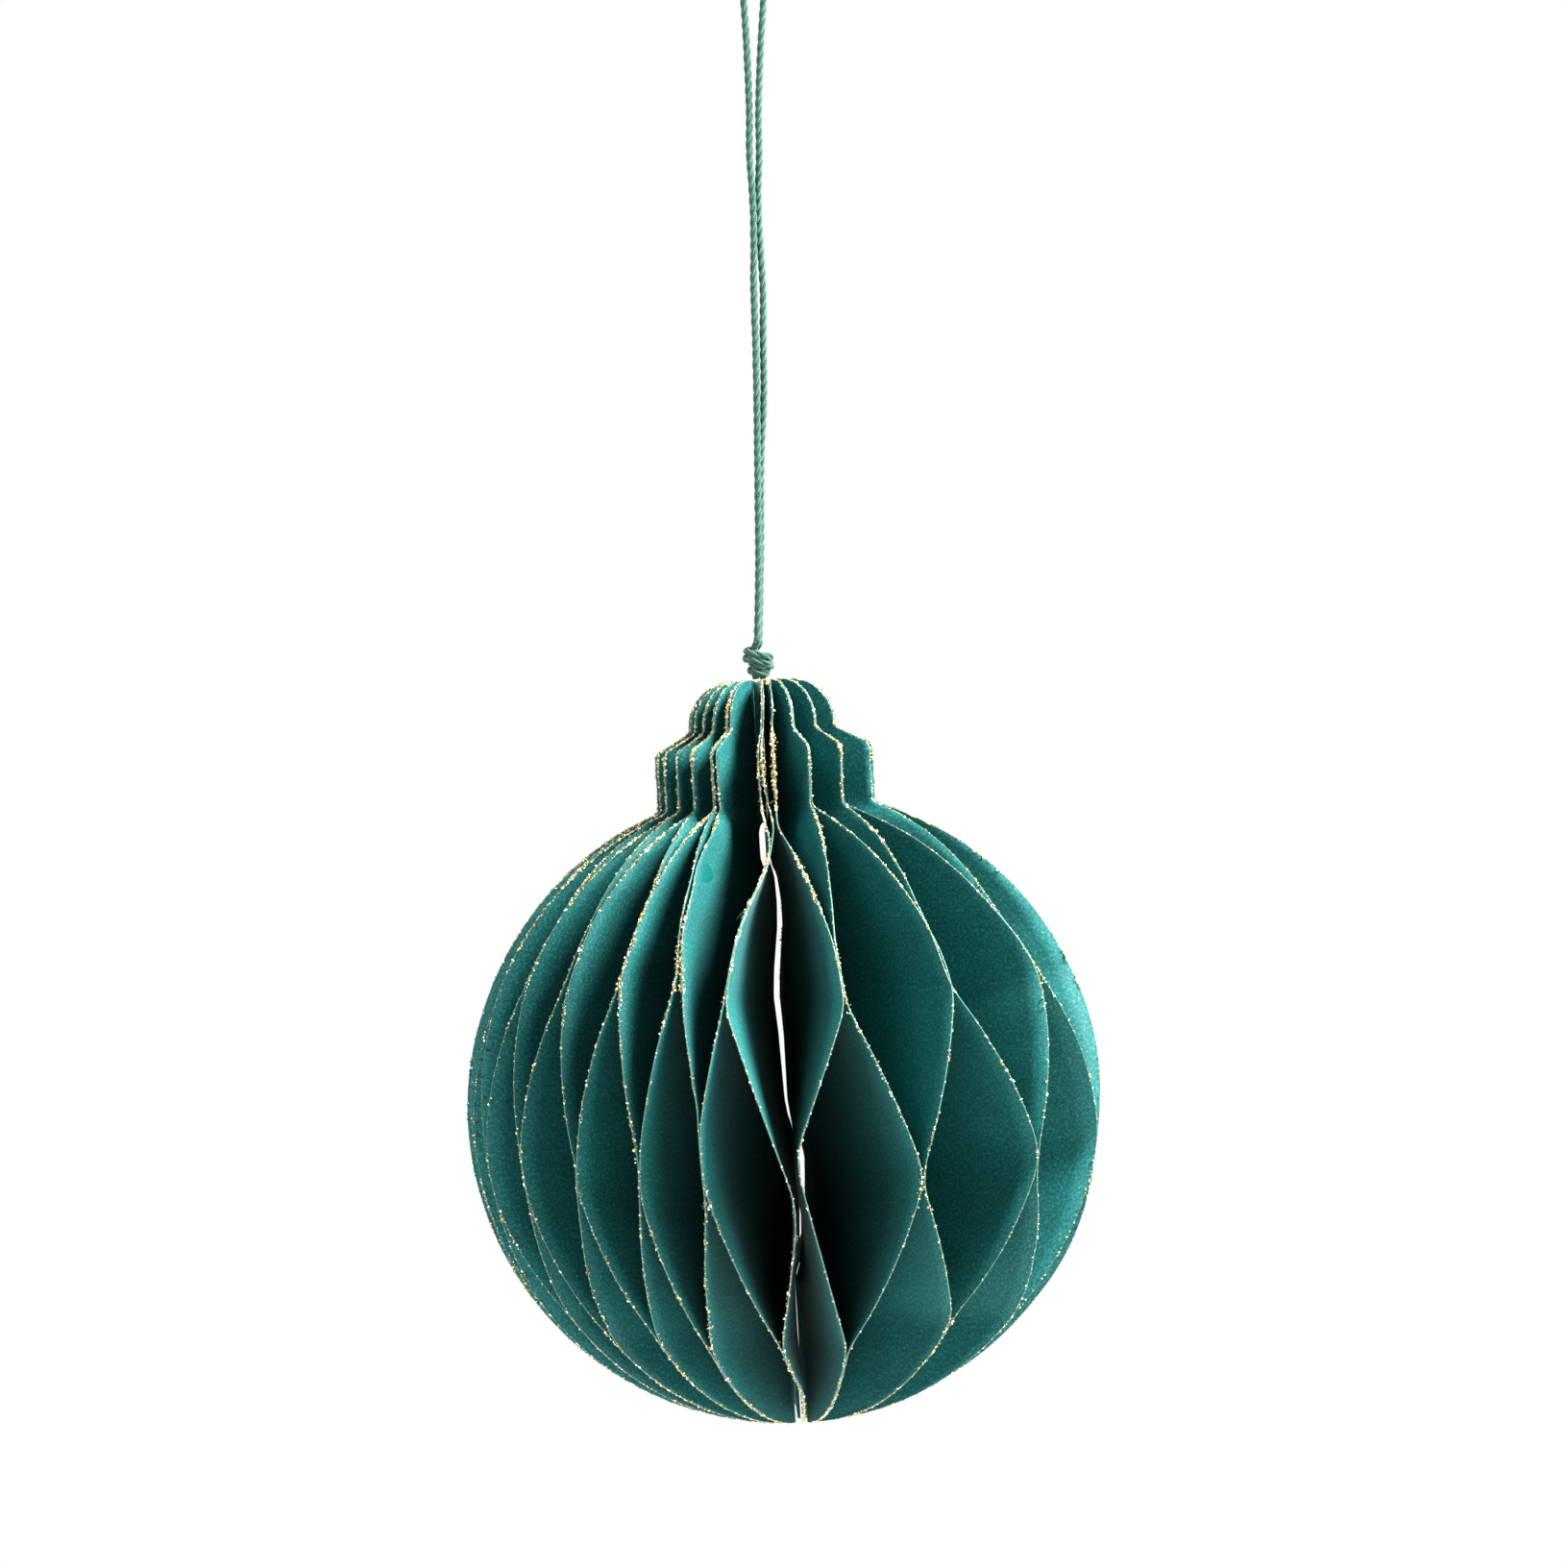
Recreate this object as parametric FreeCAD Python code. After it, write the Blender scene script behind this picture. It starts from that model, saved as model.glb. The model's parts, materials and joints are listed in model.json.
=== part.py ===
"""Paper honeycomb ball: a hanging ornament of stiff paper leaves that opens out like a book, with a doubled cord.

All lengths are millimetres. +Z is up and the ornament hangs below the origin, which is the inside top of its cord
loop, where a hook bears. Every leaf is half of the ball's profile, and its straight inner edge lies along the
spine, a narrow round hollow in the middle of the ball. The leaves are glued to each other in levels that
alternate from one leaf to the next, and each leaf swings about the line where it meets its neighbour, so the whole
ball closes to a flat pack.
"""
import FreeCAD, Part
import math
import os

# ---- driving dimensions ----
BALL_RADIUS = 50.0          # outer radius of the round part
BODY_HEIGHT = 117.0         # paper body, from the flat top of the cap to the bottom of the ball
CAP_RADIUS = 11.7           # domed cap on top of the neck
CAP_CORNER = 7.0            # rounding of the dome
CAP_SIDE = 0.9              # straight side under the dome
NECK_RADIUS = 17.3          # collar between the cap and the ball
SHOULDER_DROP = 2.9         # fall of the sloping shoulder between cap and neck
CORNER_ROUND = 1.0          # rounding of the profile's other corners
SPINE_RADIUS = 3.6          # hollow up the middle, between the leaves' inner edges
PAPER = 0.2                 # thickness of one leaf
PITCH = 0.42                # distance between neighbouring leaves when the ball is closed flat
COVER_OFFSET = 0.22         # how far each of the two end leaves stands off the seam at the back

# Opening between neighbouring leaves in degrees, counted outward from the front leaf. The cells are uneven, as the
# paper was pulled open: wide on the right-hand side, narrow on the left-hand side.
RIGHT_OPENINGS = [12.0, 13.0, 11.0, 16.5, 11.0, 17.0, 12.0] + [8.75] * 10
LEFT_OPENINGS = [10.5, 5.5, 5.5, 6.0, 6.0, 7.0, 5.5, 7.0, 5.5, 6.5, 5.5, 6.0, 5.5, 6.0] + [9.2] * 10

# Cord and knot
CORD_DIAMETER = 1.15
KNOT_X = 0.9                # the knot hangs a little to the right of the hook
KNOT_Z = -110.9             # middle of the knot
KNOT_RADIUS = 2.6
KNOT_HALF_HEIGHT = 2.85
KNOT_FLAT_RADIUS = 1.25     # flat ends where the strands come out
KNOT_CLEARANCE = 3.15       # from the middle of the knot down to the paper cap
LEAN = 3.3                  # the heavier left side hangs lower, so the spine leans by this many degrees
TAIL_LENGTH = 16.0          # cord ends glued into the spine under the knot
TAIL_GAP = 0.25             # from the cap's top down to the start of the tail

# Route of the cord, chosen by eye: up the left strand, over the hook, and down the right strand. It is limp and
# the strands rub and part a little on the way.
CORD_ROUTE = [
    (0.28, -0.12, -108.0),
    (0.42, -0.40, -97.0),
    (0.60, -0.58, -81.0),
    (0.70, -0.52, -64.0),
    (0.05, -0.25, -50.0),
    (-0.38, -0.05, -36.0),
    (-0.70, 0.0, -21.0),
    (-1.45, 0.0, -6.5),
    (-1.90, 0.0, 0.6),
    (1.90, 0.0, 0.6),
    (1.30, 0.0, -6.5),
    (0.66, 0.0, -20.0),
    (0.98, 0.05, -33.0),
    (1.58, 0.15, -49.0),
    (1.40, 0.66, -65.0),
    (1.12, 0.66, -80.0),
    (1.22, 0.68, -96.0),
    (1.56, 0.14, -108.0),
]

# Self-adhesive pads that hold the two end leaves together
PAD_RADIUS = 3.5
PAD_THICKNESS = 0.2
PAD_DEPTHS = [18.0, 97.0]   # below the cap's top
PAD_INSETS = [5.0, 6.0]     # from the leaf's outer edge

UP = FreeCAD.Vector(0, 0, 1)
PIVOT = FreeCAD.Vector(KNOT_X, 0, KNOT_Z)


def outward(azimuth):
    """Unit vector at this azimuth in degrees: 0 is the front (-Y), and it grows towards the right (+X)."""
    a = math.radians(azimuth)
    return FreeCAD.Vector(math.sin(a), -math.cos(a), 0)


def ball_radius_at(depth):
    """Profile radius of the round part at this depth below the cap's top."""
    return math.sqrt(BALL_RADIUS**2 - (depth - (BODY_HEIGHT - BALL_RADIUS)) ** 2)


def ball_depth_at(radius, below):
    """Depth at which the round part has this radius, under its widest place or over it."""
    rise = math.sqrt(BALL_RADIUS**2 - radius**2)
    middle = BODY_HEIGHT - BALL_RADIUS
    return middle + rise if below else middle - rise


def round_corner(solid, radius, depth):
    """The sheet with one corner of its outline rounded; the corner's edge runs through the sheet."""
    for edge in solid.Edges:
        first = edge.Vertexes[0].Point
        last = edge.Vertexes[-1].Point
        through = abs(abs(first.y - last.y) - PAPER) < 1e-4
        here = abs(first.x - radius) < 0.01 and abs(first.z + depth) < 0.01
        if through and here:
            return solid.makeFillet(CORNER_ROUND, [edge])
    raise ValueError("no corner at radius %.2f, depth %.2f" % (radius, depth))


def leaf_sheet():
    """One leaf in the plane Y = 0, its spine along Z and its top at Z = 0: the half profile cut from paper."""
    middle = BODY_HEIGHT - BALL_RADIUS
    cap_bottom = CAP_CORNER + CAP_SIDE
    shoulder = cap_bottom + SHOULDER_DROP
    neck_bottom = ball_depth_at(NECK_RADIUS, below=False)
    tip = ball_depth_at(SPINE_RADIUS, below=True)

    def at(radius, depth):
        return FreeCAD.Vector(radius, -PAPER / 2, -depth)

    diagonal = CAP_CORNER * (1 - math.sqrt(0.5))
    corners = [
        at(SPINE_RADIUS, 0),
        at(CAP_RADIUS - CAP_CORNER, 0),
        at(CAP_RADIUS, CAP_CORNER),
        at(CAP_RADIUS, cap_bottom),
        at(NECK_RADIUS, shoulder),
        at(NECK_RADIUS, neck_bottom),
        at(SPINE_RADIUS, tip),
    ]
    outline = Part.Wire(
        [
            Part.LineSegment(corners[0], corners[1]).toShape(),
            Part.Arc(corners[1], at(CAP_RADIUS - diagonal, diagonal), corners[2]).toShape(),
            Part.LineSegment(corners[2], corners[3]).toShape(),
            Part.LineSegment(corners[3], corners[4]).toShape(),
            Part.LineSegment(corners[4], corners[5]).toShape(),
            Part.Arc(corners[5], at(BALL_RADIUS, middle), corners[6]).toShape(),
            Part.LineSegment(corners[6], corners[0]).toShape(),
        ]
    )
    sheet = Part.Face(outline).extrude(FreeCAD.Vector(0, PAPER, 0))
    for radius, depth in [(CAP_RADIUS, cap_bottom), (NECK_RADIUS, shoulder), (NECK_RADIUS, neck_bottom)]:
        sheet = round_corner(sheet, radius, depth)
    return sheet


def hung(shape):
    """A shape drawn about the spine with the cap's top at Z = 0, moved under the knot and leaned."""
    placed = shape.copy()
    placed.translate(FreeCAD.Vector(KNOT_X, 0, KNOT_Z - KNOT_CLEARANCE))
    placed.rotate(PIVOT, FreeCAD.Vector(0, 1, 0), -LEAN)
    return placed


def turned(shape, azimuth, offset=0.0):
    """A shape drawn in the plane Y = 0, swung to this azimuth, and moved sideways by offset towards more azimuth."""
    placed = shape.copy()
    placed.rotate(FreeCAD.Vector(0, 0, 0), UP, azimuth - 90)
    placed.translate(outward(azimuth + 90) * offset)
    return placed


def leaf_azimuths():
    """Azimuth of every leaf, from the left-hand end leaf round the front to the right-hand end leaf."""
    left = [-sum(LEFT_OPENINGS[:count]) for count in range(len(LEFT_OPENINGS), 0, -1)]
    right = [sum(RIGHT_OPENINGS[:count]) for count in range(1, len(RIGHT_OPENINGS) + 1)]
    return left + [0.0] + right


def rounded_route(points):
    """Wire of straight runs joined by arcs that touch them, each arc as large as its two runs allow.
    Returns the wire and the arcs' radii."""
    route = [FreeCAD.Vector(*p) for p in points]
    edges = []
    radii = []
    start = route[0]
    for before, corner, after in zip(route, route[1:], route[2:]):
        run_in = corner - before
        run_out = after - corner
        turn = run_in.getAngle(run_out)
        reach = 0.45 * min(run_in.Length, run_out.Length)
        radius = reach / math.tan(turn / 2)
        into = FreeCAD.Vector(run_in).normalize()
        out = FreeCAD.Vector(run_out).normalize()
        first = corner - into * reach
        last = corner + out * reach
        inward = (out - into).normalize()
        middle = corner + inward * (radius / math.cos(turn / 2) - radius)
        edges.append(Part.LineSegment(start, first).toShape())
        edges.append(Part.Arc(first, middle, last).toShape())
        radii.append(radius)
        start = last
    edges.append(Part.LineSegment(start, route[-1]).toShape())
    return Part.Wire(edges), radii


def cord():
    """The free cord: one length of round cord, both ends down in the knot and its middle over the hook."""
    wire, radii = rounded_route(CORD_ROUTE)
    along = FreeCAD.Vector(*CORD_ROUTE[1]) - FreeCAD.Vector(*CORD_ROUTE[0])
    section = Part.Wire([Part.Circle(FreeCAD.Vector(*CORD_ROUTE[0]), along, CORD_DIAMETER / 2).toShape()])
    tube = wire.makePipeShell([section], True, True)
    expected = math.pi * CORD_DIAMETER**2 / 4 * wire.Length
    print("cord: length %.1f, volume %.2f, section times length %.2f" % (wire.Length, tube.Volume, expected))
    print("cord: radii " + ", ".join("%.1f" % r for r in radii))
    return tube


def knot():
    """Overhand knot in the doubled cord, as a plain barrel."""
    high = FreeCAD.Vector(KNOT_FLAT_RADIUS, 0, KNOT_HALF_HEIGHT)
    wide = FreeCAD.Vector(KNOT_RADIUS, 0, 0)
    low = FreeCAD.Vector(KNOT_FLAT_RADIUS, 0, -KNOT_HALF_HEIGHT)
    top = FreeCAD.Vector(0, 0, KNOT_HALF_HEIGHT)
    bottom = FreeCAD.Vector(0, 0, -KNOT_HALF_HEIGHT)
    outline = Part.Wire(
        [
            Part.LineSegment(top, high).toShape(),
            Part.Arc(high, wide, low).toShape(),
            Part.LineSegment(low, bottom).toShape(),
            Part.LineSegment(bottom, top).toShape(),
        ]
    )
    barrel = Part.Face(outline).revolve(FreeCAD.Vector(0, 0, 0), UP, 360)
    barrel.translate(PIVOT)
    return barrel


def cord_tail():
    """The two ends of the cord under the knot, glued side by side against the front leaf's inner edge."""
    strands = []
    for side in (-1, 1):
        base = FreeCAD.Vector(side * (CORD_DIAMETER / 2 + 0.02), 0, -TAIL_GAP - TAIL_LENGTH)
        strands.append(Part.makeCylinder(CORD_DIAMETER / 2, TAIL_LENGTH, base, UP))
    both = Part.makeCompound(strands)
    both.translate(outward(0) * (SPINE_RADIUS - CORD_DIAMETER / 2 - 0.25))
    return both


def closing_pads():
    """Self-adhesive pads on the right-hand end leaf, between it and the left-hand one."""
    pads = []
    for depth, inset in zip(PAD_DEPTHS, PAD_INSETS):
        edge = NECK_RADIUS if depth < ball_depth_at(NECK_RADIUS, below=False) else ball_radius_at(depth)
        place = FreeCAD.Vector(edge - inset - PAD_RADIUS, PAPER / 2, -depth)
        pads.append(Part.makeCylinder(PAD_RADIUS, PAD_THICKNESS, place, FreeCAD.Vector(0, 1, 0)))
    return Part.makeCompound(pads)


def main():
    os.makedirs("parts", exist_ok=True)
    nodes = {
        "hanging_cord": cord(),
        "cord_knot": knot(),
        "cord_tail": hung(cord_tail()),
    }
    sheet = leaf_sheet()
    azimuths = leaf_azimuths()
    for number, azimuth in enumerate(azimuths, start=1):
        offset = 0.0
        if number == 1:
            offset = COVER_OFFSET
        elif number == len(azimuths):
            offset = -COVER_OFFSET
        nodes["leaf_%02d" % number] = hung(turned(sheet, azimuth, offset))
    nodes["closing_pads"] = hung(turned(closing_pads(), azimuths[-1], -COVER_OFFSET))
    for name, shape in nodes.items():
        shape.exportStep("parts/%s.step" % name)
    print("nodes: %d" % len(nodes))


main()
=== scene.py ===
import json
import math

import bpy
import numpy as np
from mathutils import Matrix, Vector

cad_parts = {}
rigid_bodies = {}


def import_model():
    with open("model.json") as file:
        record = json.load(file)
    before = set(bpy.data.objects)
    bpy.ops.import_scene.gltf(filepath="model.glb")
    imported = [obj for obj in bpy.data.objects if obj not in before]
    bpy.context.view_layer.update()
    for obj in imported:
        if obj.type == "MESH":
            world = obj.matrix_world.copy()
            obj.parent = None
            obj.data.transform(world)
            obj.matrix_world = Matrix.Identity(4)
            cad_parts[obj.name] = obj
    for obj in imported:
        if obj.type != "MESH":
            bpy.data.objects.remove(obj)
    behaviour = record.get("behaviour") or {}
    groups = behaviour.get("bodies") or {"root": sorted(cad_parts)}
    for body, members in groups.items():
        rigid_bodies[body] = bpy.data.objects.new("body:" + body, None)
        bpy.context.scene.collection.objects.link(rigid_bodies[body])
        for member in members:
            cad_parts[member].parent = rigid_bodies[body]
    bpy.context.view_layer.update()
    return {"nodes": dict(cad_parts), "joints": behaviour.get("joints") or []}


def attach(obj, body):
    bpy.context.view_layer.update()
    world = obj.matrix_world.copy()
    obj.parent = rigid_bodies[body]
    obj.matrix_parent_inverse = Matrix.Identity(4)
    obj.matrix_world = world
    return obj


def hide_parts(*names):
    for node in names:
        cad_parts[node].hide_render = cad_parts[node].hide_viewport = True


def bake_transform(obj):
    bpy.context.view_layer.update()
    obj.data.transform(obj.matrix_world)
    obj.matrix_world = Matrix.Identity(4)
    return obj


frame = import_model()

MM = 0.001

# ---- the ball's sizes, the same as the CAD's, in metres ----
BALL_RADIUS = 50.0 * MM
BODY_HEIGHT = 117.0 * MM
CAP_RADIUS = 11.7 * MM
CAP_CORNER = 7.0 * MM
CAP_SIDE = 0.9 * MM
NECK_RADIUS = 17.3 * MM
SHOULDER_DROP = 2.9 * MM
CORNER_ROUND = 1.0 * MM
SPINE_RADIUS = 3.6 * MM
PAPER = 0.2 * MM
KNOT_CLEARANCE = 3.15 * MM
COVER_OFFSET = 0.22 * MM
TAIL_LENGTH = 16.0 * MM
TAIL_GAP = 0.25 * MM
BALL_MIDDLE = BODY_HEIGHT - BALL_RADIUS     # depth of the widest place under the cap's top
NECK_BOTTOM = BALL_MIDDLE - math.sqrt(BALL_RADIUS**2 - NECK_RADIUS**2)

# ---- how the leaves are glued ----
# Each seam joins two neighbouring leaves at two levels. Odd seams hold at the neck and under the
# middle, even ones over the middle and at the bottom. A level is the points down its glue, as
# (depth in millimetres, azimuth in degrees). These are the seams on the near side. The rest are
# evenly spread, and stay on their leaves' planes.
SEAM_LEVELS = {
    14: ([(35, -71.7), (47, -72)], [(96, -74), (115, -76)]),
    15: ([(0, -65.8), (20.5, -65.8)], [(72, -69), (80, -69)]),
    16: ([(35, -58.4), (45, -59)], [(96, -60.5), (115, -62)]),
    17: ([(0, -52.8), (20.5, -52.8)], [(70, -54.9), (79, -55.2)]),
    18: ([(36, -45.4), (46, -46)], [(100, -50), (115, -50)]),
    19: ([(0, -41), (20.5, -41)], [(72, -40.8), (77, -41.2)]),
    20: ([(32, -31), (45, -32.2)], [(100.5, -35), (115, -36)]),
    21: ([(0, -28.8), (20.5, -28.4)], [(71.5, -26.6), (78, -27.4)]),
    22: ([(30, -21), (38, -20.6), (45, -19.4)], [(102, -22.2), (115, -22)]),
    23: ([], [(67.5, -15), (77, -15.1)]),
    24: ([(28, -0.4), (31.5, -2.8), (35, -5.8), (40, -8.1), (49.5, -10.1)],
         [(102, -4.2), (110, 0.5), (115, 1)]),
    25: ([(0, 4.6), (20, 4.6), (23, 2.9)], [(73, 1.7), (83, 1.4)]),
    26: ([(41, 12.1), (50.5, 12.4)], [(103, 12.5), (115, 14)]),
    27: ([(0, 24.5), (20.5, 23)], [(75.5, 24.4), (78.5, 24.5)]),
    28: ([(38.3, 34), (43, 34.9), (49.3, 34.9)], [(99.8, 39), (115, 41)]),
    29: ([(0, 46), (20.5, 43)], [(73.5, 51.1), (78.5, 51.2)]),
    30: ([(38, 57.8), (43, 60.4), (48, 61.2)], [(100, 66), (115, 67)]),
    31: ([(0, 74), (20.5, 72)], [(73, 78), (79, 78)]),
}
# Where the glue has come open, the two leaves go their own ways: (leaf, seam) and that leaf's points
OPEN_UPPER = {
    (22, 22): [(0, -26), (20, -26), (22.6, -21.3), (30, -21), (38, -20.6), (45, -19.4)],
    (23, 24): [(0, 1.5), (5, 0.5), (8.5, -1.6), (12.5, -3.4), (16, -3.2), (20.5, -2.6), (23, -0.6),
               (25, 0.6), (28, -0.4), (31.5, -2.8), (35, -5.8), (40, -8.1), (49.5, -10.1)],
    (24, 25): [(0, 3.2), (5, 1.8), (8.5, -0.2), (13, -1.6), (17.5, -0.3), (20.5, 1.5), (23, 2.4)],
    (25, 25): [(0, 9.5), (5, 8), (9, 5.2), (13, 3.6), (17.5, 4.2), (20.5, 4), (23, 2.9)],
}
OPEN_LOWER = {
    (24, 25): [(79, 1.0), (84, 1.0)],
    (25, 25): [(71.5, 1.7), (75.5, 1.8)],
}
# Against depth, all in millimetres: how far the core winds to the right, how much further the
# closure at the back does, how far the closure bends at the ball's foot, away from the core, and
# how wide the closure stands open
CORE_SHIFT = [
    (0, 0), (21.5, 0), (24, -0.5), (28, -0.45), (31, 0.4), (35, 0.75), (39, 0.7), (46, -0.1),
    (50, -0.4), (56, 0), (66, 0.2), (71, 0.9), (76, 1.5), (84, 1.3), (90, 1.0), (94, 0),
]
CLOSURE_SHIFT = [(21.5, 0), (23.5, -1.1), (28, -1.25), (29.5, -1.6), (32, 0)]
FOOT_SHIFT = [(101, 0), (103.5, 1.7), (117, 1.7)]
CLOSURE_GAP = [
    (21.5, 0), (23.5, 1.0), (27, 1.3), (29, 1.8), (30.5, 1.5), (33, 0.5), (50, 0.5), (62, 0.5),
    (69, 0.4), (75, 1.2), (84, 1.0), (90, 0.5), (94, 0),
]
SPINE_REACH = 22 * MM       # how far out from the spine its winding is felt
FOOT_REACH = 8 * MM         # how far out the bend at the foot takes to come in
CLOSURE_WIDTH = math.radians(13)
NECK_LEVEL = (0, 20.5)
UNDER_LEVEL = (73.5, 79.5)
OVER_LEVEL = (40, 49)
BOTTOM_LEVEL = (101, 115)
LEVEL_JITTER = 1.6
GLUE_STEP = 0.22 * MM       # distance between the middles of two glued leaves

# ---- cord ----
CORD_DIAMETER = 1.15 * MM
CORD_ROUTE = [
    (0.58 * MM, -0.45 * MM, -108.0 * MM),
    (0.82 * MM, -0.60 * MM, -99.0 * MM),
    (0.76 * MM, -0.58 * MM, -89.0 * MM),
    (0.62 * MM, -0.54 * MM, -79.0 * MM),
    (0.54 * MM, -0.35 * MM, -70.0 * MM),
    (0.30 * MM, -0.15 * MM, -60.0 * MM),
    (-0.04 * MM, -0.05 * MM, -52.0 * MM),
    (0.08 * MM, -0.42 * MM, -44.5 * MM),
    (-0.14 * MM, -0.46 * MM, -37.5 * MM),
    (-0.72 * MM, -0.10 * MM, -31.0 * MM),
    (-0.60 * MM, 0.0 * MM, -24.0 * MM),
    (-1.40 * MM, 0.0 * MM, -8.0 * MM),
    (-2.40 * MM, 0.0 * MM, 0.6 * MM),
    (2.40 * MM, 0.0 * MM, 0.6 * MM),
    (1.40 * MM, 0.0 * MM, -8.0 * MM),
    (0.70 * MM, 0.0 * MM, -24.0 * MM),
    (0.96 * MM, 0.05 * MM, -31.0 * MM),
    (0.68 * MM, 0.46 * MM, -37.5 * MM),
    (0.94 * MM, 0.42 * MM, -44.5 * MM),
    (1.56 * MM, 0.05 * MM, -52.0 * MM),
    (1.48 * MM, 0.20 * MM, -60.0 * MM),
    (1.68 * MM, 0.30 * MM, -67.5 * MM),
    (1.54 * MM, 0.45 * MM, -72.0 * MM),
    (1.14 * MM, 0.56 * MM, -79.0 * MM),
    (1.18 * MM, 0.58 * MM, -89.0 * MM),
    (1.10 * MM, 0.60 * MM, -99.0 * MM),
    (0.86 * MM, 0.55 * MM, -108.0 * MM),
]
PLIES = 3
PLY_PITCH = 5.2 * MM        # length of one turn of the twist

# ---- the frame's joints say where everything is ----
JOINTS = {joint["name"]: joint for joint in frame["joints"]}
PIVOT = np.array(JOINTS["sway"]["pos_m"], float)
SPINE_UP = np.array(JOINTS["fold"]["axis"], float)
FRONT = np.array([0.0, -1.0, 0.0])
RIGHT = np.cross(SPINE_UP, FRONT)


def leaf_name(number):
    return "leaf_%02d" % number


def seam_azimuths():
    """Azimuth of each leaf's left-hand seam in degrees, by leaf number, from the fold joints' ranges."""
    azimuth = {JOINTS["fold"]["parent"]: 0.0}
    for joint in frame["joints"]:
        if not joint["name"].startswith("fold"):
            continue
        leftward = np.dot(joint["axis"], SPINE_UP) > 0
        opening = round(joint["range_deg"][1], 2)
        azimuth[joint["child"]] = azimuth[joint["parent"]] + (-opening if leftward else opening)
    return {int(name[-2:]): value for name, value in azimuth.items()}


AZIMUTHS = seam_azimuths()
LAST = max(AZIMUTHS)


# ---- small helpers ----
def mesh_object(name, points, faces, smooth=True):
    mesh = bpy.data.meshes.new(name)
    mesh.from_pydata([tuple(p) for p in points], [], faces)
    mesh.update()
    mesh.polygons.foreach_set("use_smooth", [smooth] * len(mesh.polygons))
    piece = bpy.data.objects.new(name, mesh)
    bpy.context.scene.collection.objects.link(piece)
    return piece


def set_uv(piece, per_vertex):
    """A UV map from one (u, v) per vertex."""
    layer = piece.data.uv_layers.new(name="UVMap")
    loops = np.zeros(len(piece.data.loops), np.int32)
    piece.data.loops.foreach_get("vertex_index", loops)
    layer.data.foreach_set("uv", np.asarray(per_vertex, np.float32)[loops].ravel())


def set_material_indices(piece, indices):
    piece.data.polygons.foreach_set("material_index", np.asarray(indices, np.int32))


def unit(vectors):
    return vectors / np.linalg.norm(vectors, axis=1)[:, None]


def smooth_noise(rng, count, step):
    """Random values along a line of count samples, smoothly joined every step samples, from 0 to 1."""
    knots = rng.random(int(count / step) + 3)
    return np.interp(np.arange(count) / step, np.arange(len(knots)), knots)


# ---- camera ----
def add_camera():
    """A long lens looking level from the front, far enough away that the cells keep their shapes."""
    distance = 1.0
    frame_width = 247.2 * MM
    data = bpy.data.cameras.new("camera")
    data.sensor_width = 36.0
    data.lens = data.sensor_width * distance / frame_width
    camera = bpy.data.objects.new("camera", data)
    camera.location = (PIVOT[0] + 3.9 * MM, -distance, PIVOT[2] - 19.5 * MM)
    camera.rotation_euler = (math.radians(90), 0, 0)
    bpy.context.scene.collection.objects.link(camera)
    bpy.context.scene.camera = camera


# ---- cord, knot and tail ----
def route_line(points, resolution):
    """Points of the smooth curve that has these control points."""
    curve = bpy.data.curves.new("route", "CURVE")
    curve.dimensions = "3D"
    curve.resolution_u = resolution
    spline = curve.splines.new("NURBS")
    spline.points.add(len(points) - 1)
    for target, point in zip(spline.points, points):
        target.co = (*point, 1.0)
    spline.order_u = 3
    spline.use_endpoint_u = True
    holder = bpy.data.objects.new("route", curve)
    bpy.context.scene.collection.objects.link(holder)
    mesh = bpy.data.meshes.new_from_object(holder)
    line = np.array([v.co for v in mesh.vertices], float)
    bpy.data.objects.remove(holder)
    bpy.data.meshes.remove(mesh)
    return line


def spaced(line, step):
    """The same line with its points about step apart."""
    lengths = np.concatenate([[0], np.cumsum(np.linalg.norm(np.diff(line, axis=0), axis=1))])
    at = np.linspace(0, lengths[-1], max(4, int(lengths[-1] / step)))
    return np.stack([np.interp(at, lengths, line[:, axis]) for axis in range(3)], axis=1), at


def carried_frames(line):
    """Two directions across the line at each point, carried along it without twisting."""
    along = np.gradient(line, axis=0)
    along /= np.linalg.norm(along, axis=1)[:, None]
    side = np.cross(along[0], [0.0, 1.0, 0.3])
    sides = []
    for direction in along:
        side = side - direction * np.dot(side, direction)
        side = side / np.linalg.norm(side)
        sides.append(side)
    sides = np.array(sides)
    return sides, np.cross(along, sides)


def twisted_cord(name, lines, diameter, seed):
    """Cord laid up from plies that wind round each line, as one mesh."""
    rng = np.random.default_rng(seed)
    ply_radius = diameter * 0.26
    wind_radius = diameter * 0.25
    around = 8
    points = []
    faces = []
    uvs = []
    for line in lines:
        line, at = spaced(line, 0.22 * MM)
        side, other = carried_frames(line)
        turns = at / PLY_PITCH * 2 * math.pi + np.cumsum(rng.normal(0, 0.02, len(at)))
        for ply in range(PLIES):
            angle = turns + ply * 2 * math.pi / PLIES
            middle = line + wind_radius * (np.cos(angle)[:, None] * side + np.sin(angle)[:, None] * other)
            radius = ply_radius * (0.92 + 0.16 * smooth_noise(rng, len(at), 5))
            first = len(points)
            for i in range(len(middle)):
                for j in range(around):
                    turn = 2 * math.pi * j / around
                    outward = math.cos(turn) * side[i] + math.sin(turn) * other[i]
                    points.append(middle[i] + radius[i] * outward)
                    uvs.append((at[i] / (20 * MM), j / around + ply))
            for i in range(len(middle) - 1):
                for j in range(around):
                    a = first + i * around + j
                    b = first + i * around + (j + 1) % around
                    faces.append((a, b, b + around, a + around))
            faces.append(tuple(first + j for j in reversed(range(around))))
            faces.append(tuple(first + (len(middle) - 1) * around + j for j in range(around)))
        fuzz(rng, line, side, other, diameter, points, faces, uvs)
    piece = mesh_object(name, points, faces)
    set_uv(piece, uvs)
    piece.data.materials.append(cord_material())
    return piece


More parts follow.
